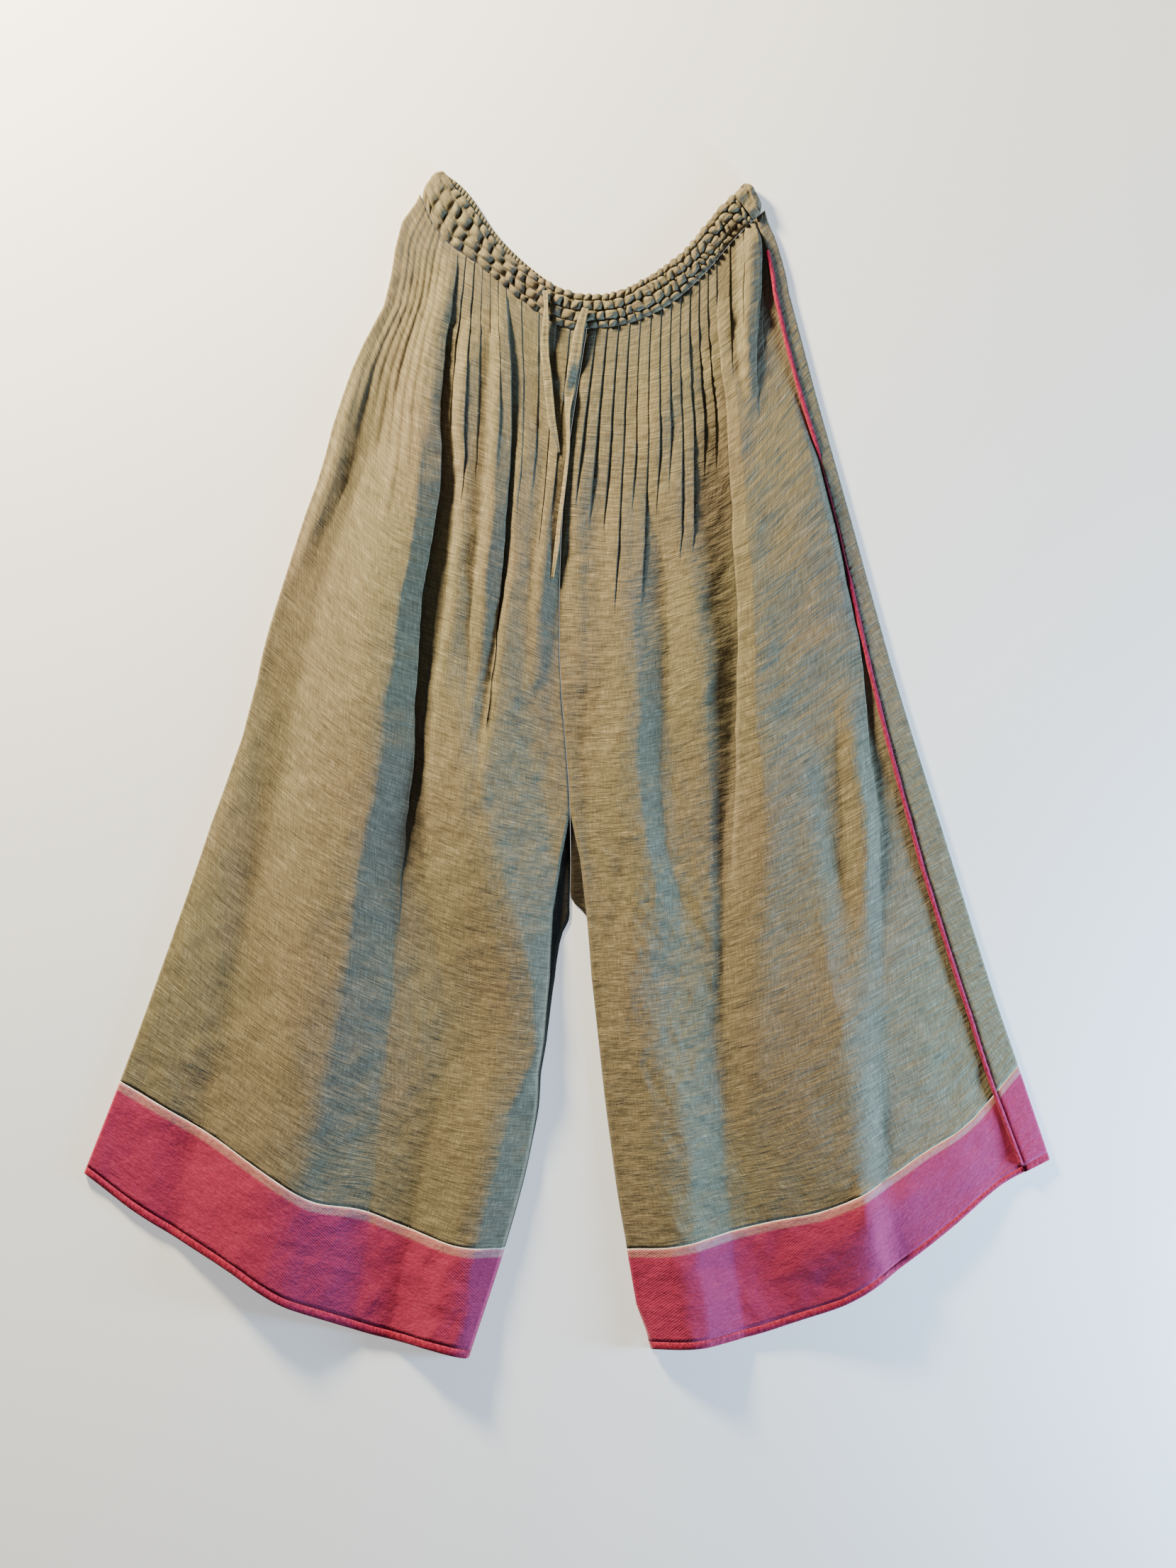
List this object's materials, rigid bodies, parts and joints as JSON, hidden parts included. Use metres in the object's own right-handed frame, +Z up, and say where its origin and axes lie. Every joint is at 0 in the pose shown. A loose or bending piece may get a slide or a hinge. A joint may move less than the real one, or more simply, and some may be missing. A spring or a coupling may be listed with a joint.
{
  "type": "flared trousers",
  "caption": "Flared linen trousers laid flat, with a shirred drawstring waist, tucked fronts, piped side seam and wide twill hem bands.",
  "frame": {"origin": "centre of the bounding box on the surface that the trousers lie on", "axes": "+Z up off the surface, through the back to the front; +Y towards the waist; +X towards the wearer's left"},
  "size_m": [0.8186, 1.008, 0.0235],
  "materials": {
    "linen": "natural heathered linen with crosswise slubs, matt",
    "waist_linen": "the same linen, shirred on rows of elastic",
    "pink_twill": "pink twill with a thin white line and a narrow pale stripe at its top, soft sheen",
    "crimson_edge": "crimson rolled hem, matt",
    "piping": "crimson corded piping, matt",
    "drawstring": "flat linen drawstring, matt"
  },
  "bodies": {
    "root": {"front_right_leg": "linen", "front_left_leg": "linen", "back_right_leg": "linen", "back_left_leg": "linen", "waistband_front": "waist_linen", "waistband_back": "waist_linen", "hem_band_front_right": "pink_twill", "hem_band_back_right": "pink_twill", "hem_band_front_left": "pink_twill", "hem_band_back_left": "pink_twill", "hem_edge_front_right": "crimson_edge", "hem_edge_back_right": "crimson_edge", "hem_edge_front_left": "crimson_edge", "hem_edge_back_left": "crimson_edge", "piping_left": "piping", "tie_right": "drawstring", "tie_left": "drawstring"}
  },
  "joints": []
}
